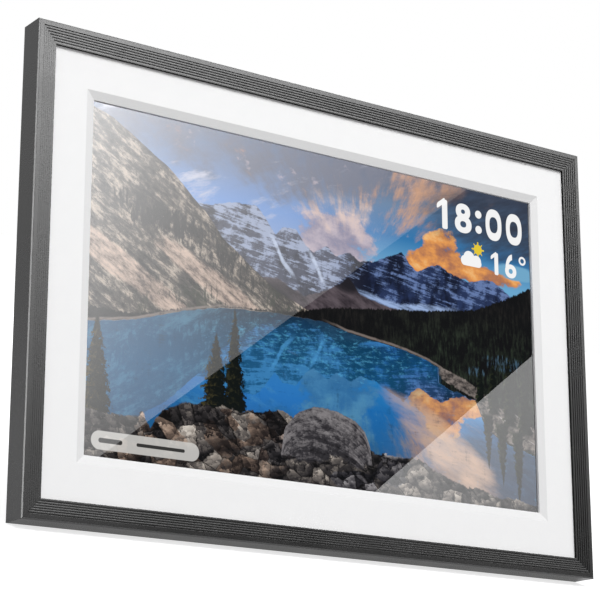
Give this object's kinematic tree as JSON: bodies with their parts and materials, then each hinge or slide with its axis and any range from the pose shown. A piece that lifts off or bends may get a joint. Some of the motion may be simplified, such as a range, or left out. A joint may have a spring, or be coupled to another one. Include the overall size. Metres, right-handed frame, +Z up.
{
  "type": "digital photo frame",
  "caption": "Landscape digital photo frame with a stepped dark moulding, bevelled white mat, lit screen and a fold-out easel stand on its back.",
  "frame": {"origin": "middle of the footprint, on the table that the moulding's lower back edge and the stand's foot rest on", "axes": "+Z up, +X to the right as the screen is seen, +Y away from the viewer; the frame leans back 20 degrees about X"},
  "size_m": [0.268, 0.0812, 0.18],
  "materials": {
    "moulding_plastic": "satin",
    "mat_card": "matte",
    "gasket_foam": "matte",
    "glass": "polished",
    "screen": "lit picture",
    "backlight": "gloss",
    "inner_plastic": "matte",
    "chassis_metal": "brushed",
    "steel": "satin",
    "board_green": "satin",
    "cover_plastic": "fine texture",
    "button_plastic": "satin",
    "lead_rubber": "matte",
    "flex_copper": "satin",
    "foot_rubber": "matte"
  },
  "bodies": {
    "frame_body": {"moulding_left": "moulding_plastic", "moulding_bottom": "moulding_plastic", "moulding_right": "moulding_plastic", "moulding_top": "moulding_plastic", "corner_key_bottom_left": "steel", "corner_key_bottom_right": "steel", "corner_key_top_right": "steel", "corner_key_top_left": "steel", "mat": "mat_card", "screen_gasket": "gasket_foam", "cover_glass": "glass", "lcd_panel": "screen", "backlight_unit": "backlight", "inner_frame": "inner_plastic", "chassis_plate": "chassis_metal", "main_board": "board_green", "processor_shield": "steel", "usb_c_inlet": "steel", "card_socket": "steel", "power_switch": "inner_plastic", "speaker_left": "inner_plastic", "speaker_right": "inner_plastic", "wifi_antenna": "flex_copper", "antenna_lead": "lead_rubber", "speaker_lead_left": "lead_rubber", "speaker_lead_right": "lead_rubber", "display_ribbon": "flex_copper", "touch_ribbon": "flex_copper", "cover_screw_1": "steel", "cover_screw_2": "steel", "cover_screw_3": "steel", "cover_screw_4": "steel", "cover_screw_5": "steel", "cover_screw_6": "steel", "board_screw_1": "steel", "board_screw_2": "steel", "board_screw_3": "steel", "board_screw_4": "steel", "chassis_screw_1": "steel", "chassis_screw_2": "steel", "chassis_screw_3": "steel", "chassis_screw_4": "steel", "corner_screw_1": "steel", "corner_screw_2": "steel", "corner_screw_3": "steel", "corner_screw_4": "steel", "bracket_screw_1": "steel", "bracket_screw_2": "steel", "stand_pin": "steel", "stand_bracket_left": "steel", "stand_bracket_right": "steel", "rear_cover": "cover_plastic"},
    "stand": {"stand_leg": "cover_plastic", "stand_foot_pad": "foot_rubber"},
    "button": {"power_button": "button_plastic"}
  },
  "joints": [
    {"name": "stand_hinge", "type": "hinge", "parent": "frame_body", "child": "stand", "pos_m": [0, 0.01638, 0.10244], "axis": [1, 0, 0], "range_deg": [-23.9, 0]},
    {"name": "power_press", "type": "slide", "parent": "frame_body", "child": "button", "axis": [-1, 0, 0], "range_m": [0, 0.0005], "stiffness_N_per_m": 2000, "springref_m": -0.0003}
  ]
}
